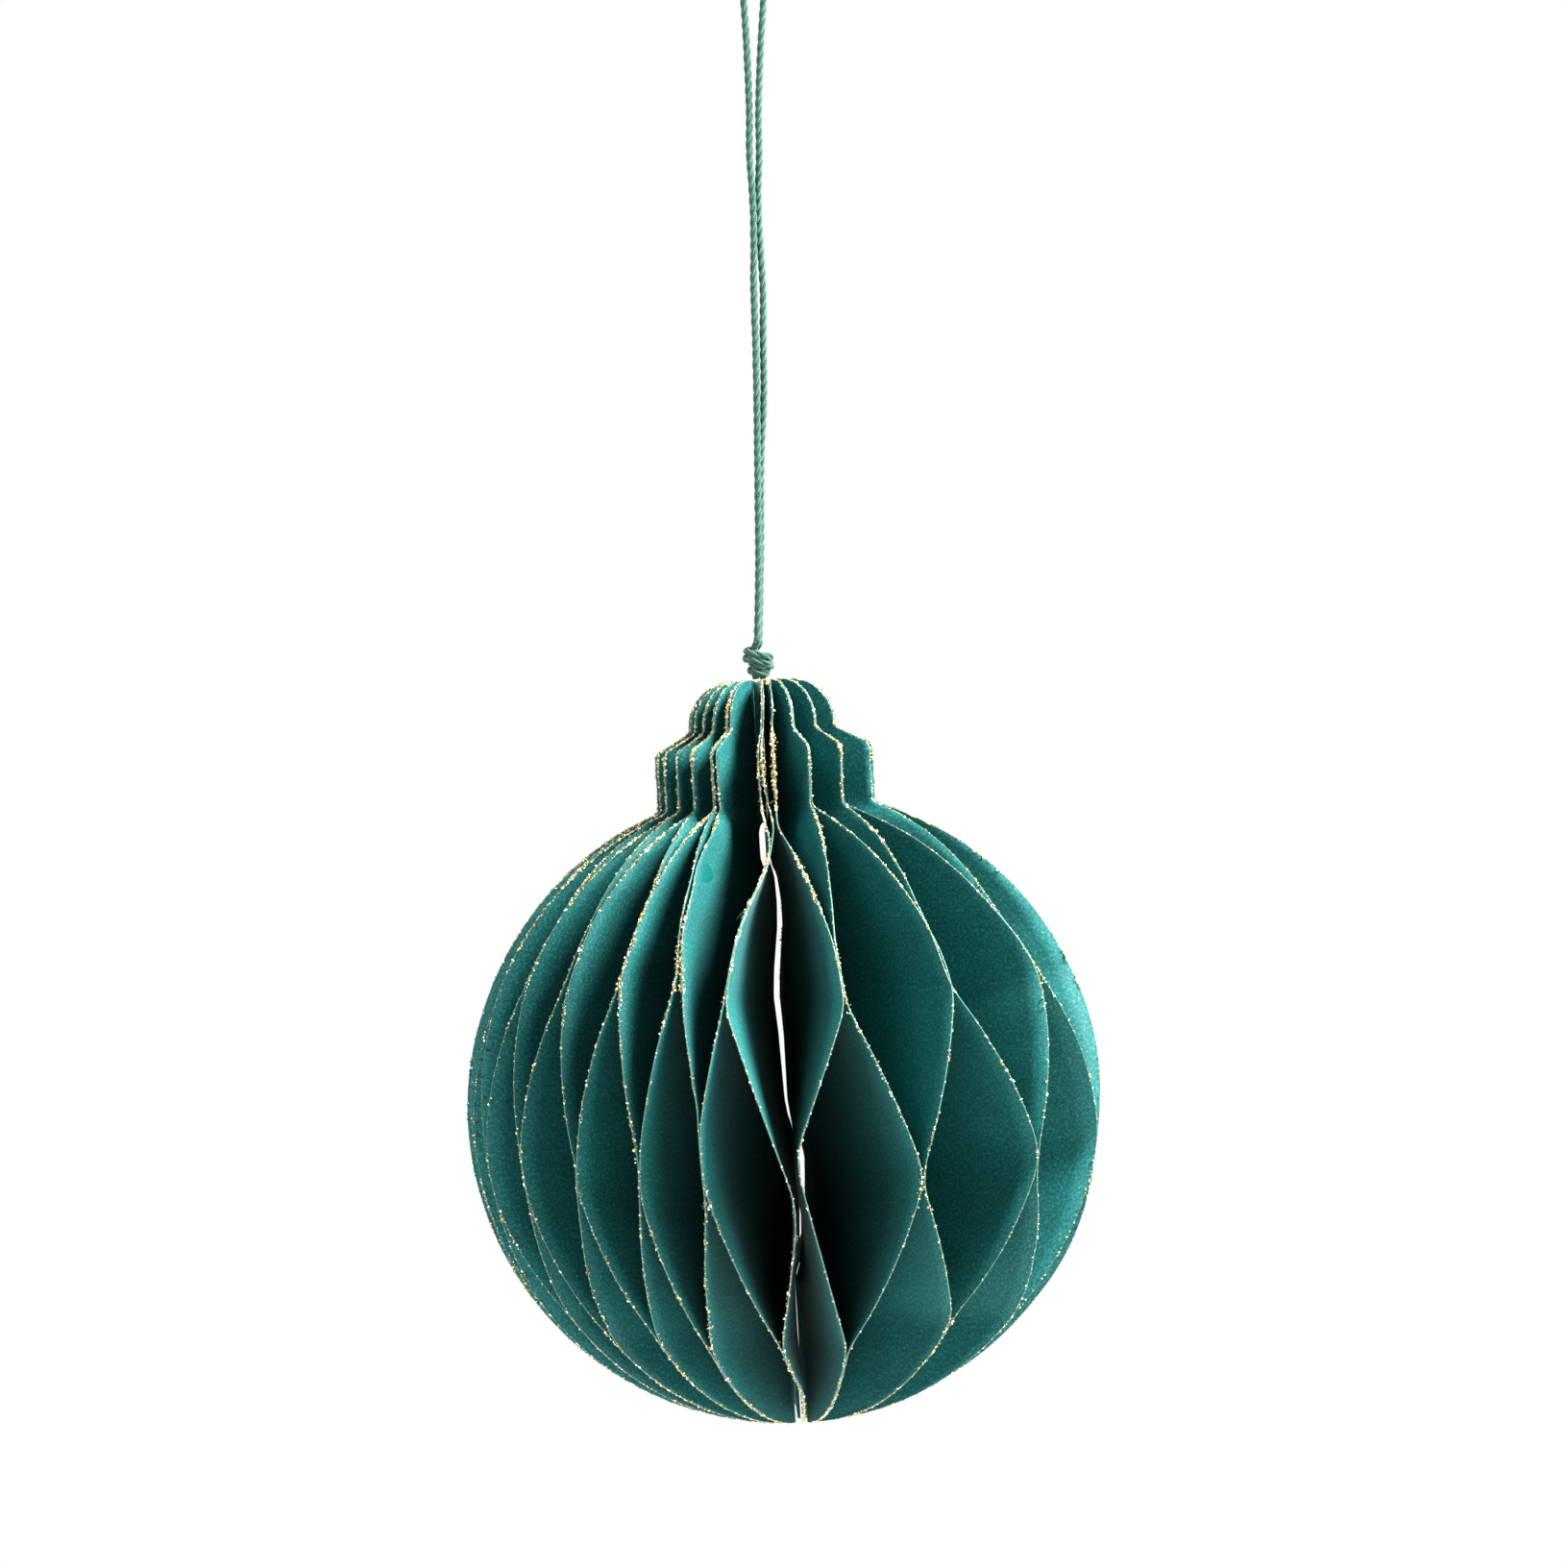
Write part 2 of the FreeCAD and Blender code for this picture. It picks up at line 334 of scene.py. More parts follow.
def fuzz(rng, line, side, other, diameter, points, faces, uvs):
    """Short loose fibres that stand off the cord, added to its mesh."""
    for _ in range(int(len(line) * 0.55)):
        i = int(rng.integers(2, len(line) - 2))
        turn = rng.random() * 2 * math.pi
        outward = math.cos(turn) * side[i] + math.sin(turn) * other[i]
        along = line[i + 1] - line[i - 1]
        along = along / np.linalg.norm(along)
        lean = rng.normal(0, 1.2)
        length = diameter * (0.25 + 0.35 * rng.random())
        start = line[i] + outward * diameter * 0.40
        tip = start + (outward * 0.55 + along * lean * 0.5) * length
        bend = (start + tip) / 2 + np.cross(along, outward) * length * rng.normal(0, 0.3)
        first = len(points)
        across = np.cross(along, outward)
        for place, width in [(start, 0.016 * MM), (bend, 0.013 * MM), (tip, 0.006 * MM)]:
            base = place - across * width * 0.5
            points.extend([place + across * width, base + along * width, base - along * width])
            uvs.extend([(0.2, 0.2)] * 3)
        for ring in (0, 3):
            for j in range(3):
                a = first + ring + j
                b = first + ring + (j + 1) % 3
                faces.append((a, b, b + 3, a + 3))
        faces.append((first + 6, first + 7, first + 8))


def add_cord():
    """The doubled cord from the knot up over the hook."""
    line = route_line(CORD_ROUTE, 24)
    cord = twisted_cord("cord", [line], CORD_DIAMETER, seed=5)
    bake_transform(cord)
    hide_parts("hanging_cord")
    knot = add_knot()


# Middle line of the doubled cord through the knot, from the top, twice round and out below, and the
# direction in which its two strands lie beside each other. Millimetres from the knot's middle.
KNOT_LINE = [
    ((-0.15, 0.00, 3.05), (0.25, 0.95, 0.0)),
    ((-0.35, 0.30, 2.20), (0.6, 0.6, 0.2)),
    ((-0.90, 0.95, 1.35), (0.5, 0.1, 0.8)),
    ((-2.05, 0.60, 0.95), (0.2, 0.1, 1.0)),
    ((-2.10, -0.75, 0.70), (0.1, 0.2, 1.0)),
    ((-0.80, -1.45, 0.45), (0.35, 0.0, 1.0)),
    ((0.80, -1.40, 0.10), (0.35, 0.0, 1.0)),
    ((1.90, -0.45, 0.00), (0.0, 0.2, 1.0)),
    ((1.35, 0.90, -0.30), (0.0, 0.2, 1.0)),
    ((0.00, 1.35, -0.65), (0.2, 0.0, 1.0)),
    ((-1.40, 0.70, -0.95), (0.1, 0.0, 1.0)),
    ((-1.25, -0.75, -1.20), (0.3, 0.1, 0.9)),
    ((0.20, -1.25, -1.65), (0.3, 0.0, 1.0)),
    ((1.90, -0.60, -1.50), (0.5, 0.1, 0.85)),
    ((1.10, 0.55, -0.90), (0.7, 0.2, 0.6)),
    ((0.10, 0.10, 1.10), (0.9, 0.3, 0.1)),
    ((-0.35, -0.10, -0.80), (1.0, 0.2, 0.1)),
    ((0.00, 0.00, -2.95), (1.0, 0.0, 0.0)),
]


def add_knot():
    strands = []
    for sign in (-1, 1):
        control = []
        for middle, beside in KNOT_LINE:
            direction = np.array(beside) / np.linalg.norm(beside)
            control.append(PIVOT + (np.array(middle) + sign * 0.56 * direction) * MM)
        strands.append(route_line([tuple(p) for p in control], 16))
    knot = twisted_cord("knot_strands", strands, CORD_DIAMETER, seed=9)
    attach(knot, "knot")
    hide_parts("cord_knot")
    return knot


def add_tail():
    """The two cord ends glued down inside the spine under the knot."""
    inward = SPINE_RADIUS - CORD_DIAMETER / 2 - 0.25 * MM
    strands = []
    for side in (-1, 1):
        line = []
        for step in np.linspace(0, 1, 12):
            depth = TAIL_GAP + step * TAIL_LENGTH
            across = side * (CORD_DIAMETER / 2 + 0.02 * MM)
            line.append(PIVOT - SPINE_UP * (KNOT_CLEARANCE + depth) + FRONT * inward + RIGHT * across)
        strands.append(np.array(line))
    tail = twisted_cord("cord_ends", strands, CORD_DIAMETER, seed=12)
    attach(tail, JOINTS["sway"]["child"])
    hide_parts("cord_tail")


# ---- leaves ----
def corner_arc(before, corner, after, size):
    """A rounded corner of the outline: points from size before the corner to size after it."""
    before, corner, after = (np.array(p, float) for p in (before, corner, after))
    start = corner + (before - corner) / np.linalg.norm(before - corner) * size
    end = corner + (after - corner) / np.linalg.norm(after - corner) * size
    share = np.linspace(0, 1, 6)[:, None]
    return list((1 - share) ** 2 * start + 2 * share * (1 - share) * corner + share**2 * end)


def leaf_outline(step=0.95 * MM):
    """Outer edge of a leaf as (radius, depth), from the flat top of the cap round to the ball's bottom."""
    points = [(SPINE_RADIUS + 0.3 * MM, 0.0)]
    for turn in np.linspace(0, math.pi / 2, 16):
        points.append((CAP_RADIUS - CAP_CORNER * (1 - math.sin(turn)), CAP_CORNER * (1 - math.cos(turn))))
    cap_bottom = (CAP_RADIUS, CAP_CORNER + CAP_SIDE)
    shoulder = (NECK_RADIUS, cap_bottom[1] + SHOULDER_DROP)
    neck_bottom = (NECK_RADIUS, NECK_BOTTOM)
    ball_start = math.asin(NECK_RADIUS / BALL_RADIUS)
    ball_end = math.pi - math.asin((SPINE_RADIUS + 0.05 * MM) / BALL_RADIUS)
    ball = []
    for turn in np.linspace(ball_start, ball_end, 150):
        ball.append((BALL_RADIUS * math.sin(turn), BALL_MIDDLE - BALL_RADIUS * math.cos(turn)))
    points += corner_arc(points[-1], cap_bottom, shoulder, CORNER_ROUND * 0.6)
    points += corner_arc(cap_bottom, shoulder, neck_bottom, CORNER_ROUND * 0.7)
    points += corner_arc(shoulder, neck_bottom, ball[1], CORNER_ROUND * 0.6)
    points += ball[1:]
    line = np.array(points, float)
    lengths = np.concatenate([[0], np.cumsum(np.linalg.norm(np.diff(line, axis=0), axis=1))])
    at = np.linspace(0, lengths[-1], int(lengths[-1] / step))
    return np.stack([np.interp(at, lengths, line[:, i]) for i in range(2)], axis=1)


OUTLINE = leaf_outline()
COLUMNS = 15
EASING = 7


def seam_levels(seam):
    """The upper and lower level of a seam, each a list of (depth, azimuth) points."""
    if seam in SEAM_LEVELS:
        return SEAM_LEVELS[seam]
    rng = np.random.default_rng(400 + seam)
    levels = []
    for top, bottom in (NECK_LEVEL, UNDER_LEVEL) if seam % 2 else (OVER_LEVEL, BOTTOM_LEVEL):
        first = top + rng.uniform(-1, 1) * LEVEL_JITTER * (top > 0)
        last = bottom + rng.uniform(-1, 1) * LEVEL_JITTER
        levels.append([(first, AZIMUTHS[seam]), (last, AZIMUTHS[seam])])
    return levels


def leaf_stops(number):
    """Points that the leaf's outer edge passes, from the top down: depth, azimuth, and 0 or 1 for
    its left-hand or right-hand seam."""
    stops = []
    for side, seam in ((0.0, number), (1.0, number + 1)):
        if seam > LAST:
            continue
        upper, lower = seam_levels(seam)
        upper = OPEN_UPPER.get((number, seam), upper)
        lower = OPEN_LOWER.get((number, seam), lower)
        stops += [(depth * MM, azimuth, side) for depth, azimuth in [*upper, *lower]]
    return sorted(stops)


def over_ball(start, end, depths):
    """Share of the turn from start to end at these depths, where the edge goes the shortest way
    over the ball."""
    points = []
    for depth, turn in ((start[0], 0.0), (end[0], math.radians(end[1] - start[1]))):
        height = (BALL_MIDDLE - depth) / BALL_RADIUS
        level = math.sqrt(1 - height * height)
        points.append(np.array([level * math.sin(turn), level * math.cos(turn), height]))
    part = np.linspace(0, 1, 60)[:, None]
    way = (1 - part) * points[0] + part * points[1]
    way /= np.linalg.norm(way, axis=1)[:, None]
    turned = np.arctan2(way[:, 0], way[:, 1])
    return np.interp(depths, BALL_MIDDLE - way[:, 2] * BALL_RADIUS, turned / turned[-1])


def eased(values):
    """The same values along the edge with their corners rounded as stiff paper does."""
    for _ in range(EASING):
        padded = np.concatenate([values[:1], values, values[-1:]])
        values = 0.25 * padded[:-2] + 0.5 * padded[1:-1] + 0.25 * padded[2:]
    return values


def leaf_path(number):
    """Azimuth in radians and share of the swing from the left-hand seam to the right-hand one, for
    each row."""
    depths = OUTLINE[:, 1]
    stops = leaf_stops(number)
    azimuth = np.full(len(depths), stops[0][1])
    share = np.full(len(depths), stops[0][2])
    for start, end in zip(stops, stops[1:]):
        rows = (depths > start[0]) & (depths <= end[0])
        part = (depths[rows] - start[0]) / (end[0] - start[0])
        if start[0] > NECK_BOTTOM and abs(end[1] - start[1]) > 1:
            part = over_ball(start, end, depths[rows])
        azimuth[rows] = start[1] + (end[1] - start[1]) * part
        share[rows] = start[2] + (end[2] - start[2]) * part
    below = depths > stops[-1][0]
    azimuth[below] = stops[-1][1]
    share[below] = stops[-1][2]
    return np.radians(eased(azimuth)), np.clip(eased(share), 0, 1)


def stand_off(number):
    """How far the CAD leaf stands from its radial plane, towards more azimuth."""
    if number == 1:
        return COVER_OFFSET
    return -COVER_OFFSET if number == LAST else 0.0


def leaf_rows(number):
    """Azimuth in radians, sideways offset and share for each row of a leaf."""
    azimuth, share = leaf_path(number)
    neighbour = min(number + 1, LAST)
    offset = (0.5 - share) * GLUE_STEP + (1 - share) * stand_off(number) + share * stand_off(neighbour)
    return azimuth, offset, share


def at_spine(radius, depth, azimuth, offset):
    """Point at this radius, depth and azimuth round the leaning spine, moved sideways by offset."""
    sine, cosine = np.sin(azimuth)[..., None], np.cos(azimuth)[..., None]
    outward = RIGHT * sine + FRONT * cosine
    sideways = RIGHT * cosine - FRONT * sine
    top = PIVOT - SPINE_UP * KNOT_CLEARANCE
    return top - SPINE_UP * depth[..., None] + outward * radius[..., None] + sideways * offset[..., None]


def core_shift(azimuth, radius, depth):
    """How far the paper stands to the right of its even place: the soft core winds, most of all
    near the spine and at the closure, and the closure stands open."""
    near_spine = np.clip(1 - (radius - SPINE_RADIUS) / SPINE_REACH, 0, 1)
    near_spine = near_spine * near_spine * (3 - 2 * near_spine)
    near_closure = np.exp(-(((math.pi - abs(azimuth)) / CLOSURE_WIDTH) ** 2))
    amount = near_spine + (1 - near_spine) * near_closure
    core = np.interp(depth / MM, *zip(*CORE_SHIFT))
    closure = np.interp(depth / MM, *zip(*CLOSURE_SHIFT))
    gap = np.interp(depth / MM, *zip(*CLOSURE_GAP)) * (azimuth > 0)
    off_spine = np.clip((radius - SPINE_RADIUS) / FOOT_REACH, 0, 1)
    foot = np.interp(depth / MM, *zip(*FOOT_SHIFT)) * off_spine
    return (core * amount + (closure + gap + foot) * near_closure) * MM


def placed(radius, depth, azimuth, aside):
    """Points on a leaf, with the winding of the core and the gap at the closure."""
    return at_spine(radius, depth, azimuth, aside) + RIGHT * core_shift(azimuth, radius, depth)[..., None]


def add_leaf(number):
    rng = np.random.default_rng(900 + number)
    azimuth, offset, share = leaf_rows(number)
    rows = len(OUTLINE)
    fractions = np.linspace(0, 1, COLUMNS)
    radius = SPINE_RADIUS + (OUTLINE[:, :1] - SPINE_RADIUS) * fractions[None, :]
    depth = np.repeat(OUTLINE[:, 1:], COLUMNS, axis=1)
    turn = np.repeat(azimuth[:, None], COLUMNS, axis=1)
    aside = np.repeat(offset[:, None], COLUMNS, axis=1)
    near = placed(radius, depth, turn, aside + PAPER / 2)
    far = placed(radius, depth, turn, aside - PAPER / 2)
    points = np.concatenate([near.reshape(-1, 3), far.reshape(-1, 3)])
    faces = []
    edge_faces = []

    def index(row, column, side):
        return side * rows * COLUMNS + row * COLUMNS + column

    for row in range(rows - 1):
        for column in range(COLUMNS - 1):
            quad = [(row, column), (row, column + 1), (row + 1, column + 1), (row + 1, column)]
            faces.append(tuple(index(r, c, 0) for r, c in quad))
            faces.append(tuple(index(r, c, 1) for r, c in reversed(quad)))
        outer = COLUMNS - 1
        rim_quad = [(row, outer, 1), (row + 1, outer, 1), (row + 1, outer, 0), (row, outer, 0)]
        edge_faces.append(tuple(index(*corner) for corner in rim_quad))
        faces.append((index(row, 0, 0), index(row + 1, 0, 0), index(row + 1, 0, 1), index(row, 0, 1)))
    last = rows - 1
    for column in range(COLUMNS - 1):
        following = column + 1
        top_quad = [(0, column, 1), (0, following, 1), (0, following, 0), (0, column, 0)]
        foot_quad = [(last, column, 0), (last, following, 0), (last, following, 1), (last, column, 1)]
        edge_faces.append(tuple(index(*corner) for corner in top_quad))
        edge_faces.append(tuple(index(*corner) for corner in foot_quad))
    leaf = mesh_object("paper_%02d" % number, points, faces + edge_faces)
    set_material_indices(leaf, [0] * len(faces) + [1] * len(edge_faces))
    u = radius.ravel() / (120 * MM)
    v = 1 - depth.ravel() / (120 * MM)
    set_uv(leaf, np.concatenate([np.stack([u, v], axis=1), np.stack([1 - u, v], axis=1)]))
    tone = leaf.data.attributes.new("tone", "FLOAT", "POINT")
    tone.data.foreach_set("value", np.full(len(points), rng.uniform(0.9, 1.1), np.float32))
    leaf.data.materials.append(paper_material())
    leaf.data.materials.append(edge_material())
    carry(leaf, number)
    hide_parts(leaf_name(number))
    rim = placed(OUTLINE[:, 0], OUTLINE[:, 1], azimuth, offset)
    add_glitter(number, rim, azimuth)


def carry(piece, number):
    """Keeps the piece where it is in the world; a piece on the last leaf is attached to that leaf's body."""
    if number == LAST:
        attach(piece, leaf_name(number))
        return
    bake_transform(piece)


FLAKE_SIDES = 5
FLAKE_RADIUS = 0.09         # in millimetres, of the smallest flakes
FLAKE_GROWTH = 0.17         # how much larger the largest ones are
THIN_GLITTER = 1.8          # flakes to the millimetre between the clumps
CLUMPED_GLITTER = 28.0      # how many more there are in a clump
GLITTER_MIX = [0.52, 0.40, 0.08]      # shares of gold, pale gold and copper flakes
# Most of the glitter is on the neck, and little round the widest place: heights, and how thick it
# lies there
GLITTER_BY_HEIGHT = ([PIVOT[2] - 0.085, PIVOT[2] - 0.060, PIVOT[2] - 0.030], [0.30, 0.38, 1.4])


def add_glitter(number, rim, azimuth):
    """Flakes of glitter stuck along the leaf's outer edge, thick in some stretches and thin in others."""
    rng = np.random.default_rng(2000 + number)
    lengths = np.concatenate([[0], np.cumsum(np.linalg.norm(np.diff(rim, axis=0), axis=1))])
    clumps = smooth_noise(rng, len(rim), 7) ** 2.4 * smooth_noise(rng, len(rim), 2.3)
    amount = THIN_GLITTER + CLUMPED_GLITTER * clumps * np.interp(rim[:, 2], *GLITTER_BY_HEIGHT)
    cumulative = np.concatenate([[0], np.cumsum(amount[1:] * np.diff(lengths))])
    count = int(cumulative[-1] / MM)
    rows = np.interp(rng.random(count) * cumulative[-1], cumulative, np.arange(len(rim)))
    spread = 0.06 + 0.13 * np.interp(rows, np.arange(len(rim)), np.clip(clumps * 2.5, 0, 1))
    places = np.stack([np.interp(rows, np.arange(len(rim)), rim[:, axis]) for axis in range(3)], axis=1)
    turns = np.interp(rows, np.arange(len(rim)), azimuth)
    outward = RIGHT * np.sin(turns)[:, None] + FRONT * np.cos(turns)[:, None]
    sideways = RIGHT * np.cos(turns)[:, None] - FRONT * np.sin(turns)[:, None]
    places = places + outward * rng.uniform(-0.16, 0.08, (count, 1)) * MM
    places = places + sideways * rng.normal(0, 1, (count, 1)) * spread[:, None] * MM
    size = (FLAKE_RADIUS + FLAKE_GROWTH * rng.random((count, 1)) ** 2.5) * MM
    axis = unit(rng.normal(size=(count, 3)))
    first_side = unit(np.cross(axis, rng.normal(size=(count, 3))))
    second_side = np.cross(axis, first_side)
    corners = []
    for j in range(FLAKE_SIDES):
        turn = 2 * math.pi * (j + rng.uniform(-0.2, 0.2, (count, 1))) / FLAKE_SIDES
        corners.append(places + size * (np.cos(turn) * first_side + np.sin(turn) * second_side))
    corners.append(places + axis * size * 0.4)
    corners.append(places - axis * size * 0.4)
    points = np.stack(corners, axis=1).reshape(-1, 3)
    flake = []
    for j in range(FLAKE_SIDES):
        following = (j + 1) % FLAKE_SIDES
        flake += [(j, following, FLAKE_SIDES), (following, j, FLAKE_SIDES + 1)]
    firsts = np.arange(count) * (FLAKE_SIDES + 2)
    faces = (firsts[:, None, None] + np.array(flake)).reshape(-1, 3).tolist()
    materials = np.repeat(rng.choice(len(GLITTER_MIX), count, p=GLITTER_MIX), len(flake))
    glitter = mesh_object("glitter_%02d" % number, points, faces, smooth=False)
    for material in glitter_materials():
        glitter.data.materials.append(material)
    set_material_indices(glitter, materials)
    set_uv(glitter, np.repeat(rng.random((count, 2)), FLAKE_SIDES + 2, axis=0))
    carry(glitter, number)


# ---- small marks ----
def at_leaf(number, radius, depth, above):
    """Points on the right-hand face of a leaf, this far above the paper, with their shares."""
    azimuth, offset, share = leaf_rows(number)
    depths = OUTLINE[:, 1]
    turn = np.interp(depth, depths, azimuth)
    aside = np.interp(depth, depths, offset) + PAPER / 2 + above
    return placed(radius, depth, turn, aside), np.interp(depth, depths, share)


def add_glue_spot():
    """A drop of glue that dried on the broad face left of the open cell."""
    rng = np.random.default_rng(77)
    ring = np.linspace(0, 2 * math.pi, 26, endpoint=False)
    wobble = 1 + 0.16 * np.sin(2 * ring + 0.6) + 0.10 * np.sin(3 * ring) + rng.normal(0, 0.04, len(ring))
    radii = [28.2 * MM]
    depths = [29.6 * MM]
    heights = [0.07 * MM]
    for size, height in ((0.55, 0.06 * MM), (0.85, 0.04 * MM), (1.0, 0.0)):
        radii += list(28.2 * MM + 2.1 * MM * size * wobble * np.cos(ring))
        depths += list(29.6 * MM + 1.5 * MM * size * wobble * np.sin(ring))
        heights += [height + 0.012 * MM] * len(ring)
    points, share = at_leaf(22, np.array(radii), np.array(depths), np.array(heights))
    count = len(ring)
    faces = [(0, 1 + j, 1 + (j + 1) % count) for j in range(count)]
    for inner in (1, 1 + count):
        for j in range(count):
            following = (j + 1) % count
            faces.append((inner + j, inner + count + j, inner + count + following, inner + following))
    spot = mesh_object("glue_spot", points, faces)
    set_uv(spot, np.stack([radii, depths], axis=1) / (20 * MM))
    spot.data.materials.append(glue_material())
    carry(spot, 22)


def add_whisker():
    """A torn paper fibre that stands off the front edge."""
    azimuth, offset, share = leaf_rows(23)
    row = int(np.argmin(abs(OUTLINE[:, 1] - 35.2 * MM)))
    base = at_spine(OUTLINE[row, :1], OUTLINE[row, 1:], azimuth[row:row + 1], offset[row:row + 1])[0]
    points = []
    for part in np.linspace(0, 1, 6):
        middle = base - RIGHT * 1.5 * MM * part - SPINE_UP * 1.25 * MM * part**1.6 + FRONT * 0.3 * MM * part
        half = SPINE_UP * 0.12 * MM * (1 - 0.85 * part)
        points += [middle + half, middle - half, middle + FRONT * 0.05 * MM]
    faces = []
    for i in range(0, 15, 3):
        for j, k in ((0, 1), (1, 2), (2, 0)):
            faces.append((i + j, i + k, i + k + 3, i + j + 3))
    faces += [(0, 2, 1), (15, 16, 17)]
    whisker = mesh_object("paper_fibre", points, faces)
    set_uv(whisker, [(0.1 * (i % 3), 0.05 * i) for i in range(len(points))])
    whisker.data.materials.append(edge_material())
    carry(whisker, 23)


# ---- materials ----
def new_material(name):
    """A material with a Principled shader, kept under its name so that each is made once."""
    found = bpy.data.materials.get(name)
    if found:
        return found, None, None
    material = bpy.data.materials.new(name)
    material.use_nodes = True
    nodes = material.node_tree.nodes
    return material, material.node_tree, nodes["Principled BSDF"]


def mapped_noise(tree, scale, detail, roughness=0.6, stretch=(1, 1, 1)):
    """Noise that is stuck to the surface through its UV map."""
    coordinate = tree.nodes.new("ShaderNodeTexCoord")
    mapping = tree.nodes.new("ShaderNodeMapping")
    mapping.inputs["Scale"].default_value = stretch
    noise = tree.nodes.new("ShaderNodeTexNoise")
    noise.inputs["Scale"].default_value = scale
    noise.inputs["Detail"].default_value = detail
    noise.inputs["Roughness"].default_value = roughness
    tree.links.new(coordinate.outputs["UV"], mapping.inputs["Vector"])
    tree.links.new(mapping.outputs["Vector"], noise.inputs["Vector"])
    return noise.outputs["Fac"]


def colour_ramp(tree, value, stops):
    ramp = tree.nodes.new("ShaderNodeValToRGB")
    elements = ramp.color_ramp.elements
    while len(elements) < len(stops):
        elements.new(0.5)
    for element, (position, colour) in zip(elements, stops):
        element.position = position
        element.color = (*colour, 1.0)
    tree.links.new(value, ramp.inputs["Fac"])
    return ramp.outputs["Color"]


def mix_colours(tree, blend_type, factor, first, second):
    mix = tree.nodes.new("ShaderNodeMix")
    mix.data_type = "RGBA"
    mix.blend_type = blend_type
    mix.inputs["Factor"].default_value = factor
    tree.links.new(first, mix.inputs["A"])
    tree.links.new(second, mix.inputs["B"])
    return mix.outputs["Result"]


def add_bump(tree, shader, height, strength, distance):
    bump = tree.nodes.new("ShaderNodeBump")
    bump.inputs["Strength"].default_value = strength
    bump.inputs["Distance"].default_value = distance
    tree.links.new(height, bump.inputs["Height"])
    tree.links.new(bump.outputs["Normal"], shader.inputs["Normal"])


def paper_material():
    """Deep green-blue paper, dyed through, with a fine fibrous mottle."""
    material, tree, shader = new_material("green_paper")
    if tree is None:
        return material
    grain = mapped_noise(tree, 260, 4, 0.7)
    clouds = mapped_noise(tree, 22, 3, 0.5)
    fine = colour_ramp(tree, grain, [
        (0.36, (0.002, 0.068, 0.064)),
        (0.52, (0.006, 0.103, 0.097)),
        (0.66, (0.034, 0.190, 0.178)),
    ])
    broad = colour_ramp(tree, clouds, [(0.3, (0.86, 0.86, 0.88)), (0.7, (1.0, 1.0, 1.0))])
    colour = mix_colours(tree, "MULTIPLY", 1.0, fine, broad)
    tone = tree.nodes.new("ShaderNodeAttribute")
    tone.attribute_name = "tone"
    colour = mix_colours(tree, "MULTIPLY", 1.0, colour, tone.outputs["Color"])
    tree.links.new(colour, shader.inputs["Base Color"])
    shader.inputs["Roughness"].default_value = 0.62
    shader.inputs["Specular IOR Level"].default_value = 0.12
    shader.inputs["Sheen Weight"].default_value = 0.05
    shader.inputs["Sheen Roughness"].default_value = 0.45
    add_bump(tree, shader, grain, 0.25, 0.04 * MM)
    return material


def edge_material():
    """The cut edge, where glue and glitter dust make a pale line."""
    material, tree, shader = new_material("paper_edge")
    if tree is None:
        return material
    speckle = mapped_noise(tree, 420, 3, 0.6)
    colour = colour_ramp(tree, speckle, [
        (0.40, (0.013, 0.110, 0.095)),
        (0.56, (0.065, 0.165, 0.135)),
        (0.68, (0.34, 0.32, 0.20)),
    ])
    tree.links.new(colour, shader.inputs["Base Color"])
    shader.inputs["Roughness"].default_value = 0.4
    return material


def glitter_materials():
    """Gold, pale gold and copper flakes."""
    kinds = [
        ("glitter_gold", (0.80, 0.64, 0.25), 0.36),
        ("glitter_pale", (0.86, 0.80, 0.62), 0.28),
        ("glitter_copper", (0.66, 0.44, 0.18), 0.38),
    ]
    made = []
    for name, colour, roughness in kinds:
        material, tree, shader = new_material(name)
        if tree is not None:
            tint = mapped_noise(tree, 30, 2)
            darker = tuple(c * 0.82 for c in colour)
            tinted = colour_ramp(tree, tint, [(0.3, darker), (0.7, colour)])
            tree.links.new(tinted, shader.inputs["Base Color"])
            shader.inputs["Metallic"].default_value = 0.85
            shader.inputs["Roughness"].default_value = roughness
        made.append(material)
    return made


def glue_material():
    """Dried glue, which darkens and glosses the paper."""
    material, tree, shader = new_material("dried_glue")
    if tree is None:
        return material
    noise = mapped_noise(tree, 40, 2)
    colour = colour_ramp(tree, noise, [(0.3, (0.0015, 0.072, 0.066)), (0.7, (0.003, 0.110, 0.100))])
    tree.links.new(colour, shader.inputs["Base Color"])
    shader.inputs["Roughness"].default_value = 0.35
    return material


def cord_material():
    """Soft green cotton."""
    material, tree, shader = new_material("green_cotton")
    if tree is None:
        return material
    fibres = mapped_noise(tree, 26, 5, 0.7, stretch=(1.0, 6.0, 1.0))
    colour = colour_ramp(tree, fibres, [
        (0.28, (0.008, 0.042, 0.031)),
        (0.52, (0.022, 0.088, 0.064)),
        (0.76, (0.078, 0.190, 0.144)),
    ])
    tree.links.new(colour, shader.inputs["Base Color"])
    shader.inputs["Roughness"].default_value = 0.9
    shader.inputs["Specular IOR Level"].default_value = 0.2
    shader.inputs["Sheen Weight"].default_value = 0.3
    add_bump(tree, shader, fibres, 0.5, 0.08 * MM)
    return material


def pad_material():
    material, tree, shader = new_material("adhesive_pad")
    if tree is None:
        return material
    foam = mapped_noise(tree, 90, 3)
    colour = colour_ramp(tree, foam, [(0.35, (0.62, 0.62, 0.58)), (0.65, (0.78, 0.78, 0.74))])
    tree.links.new(colour, shader.inputs["Base Color"])
    shader.inputs["Roughness"].default_value = 0.75
    return material


def dress_pads():
    pads = frame["nodes"]["closing_pads"]
    pads.data.materials.clear()
    pads.data.materials.append(pad_material())


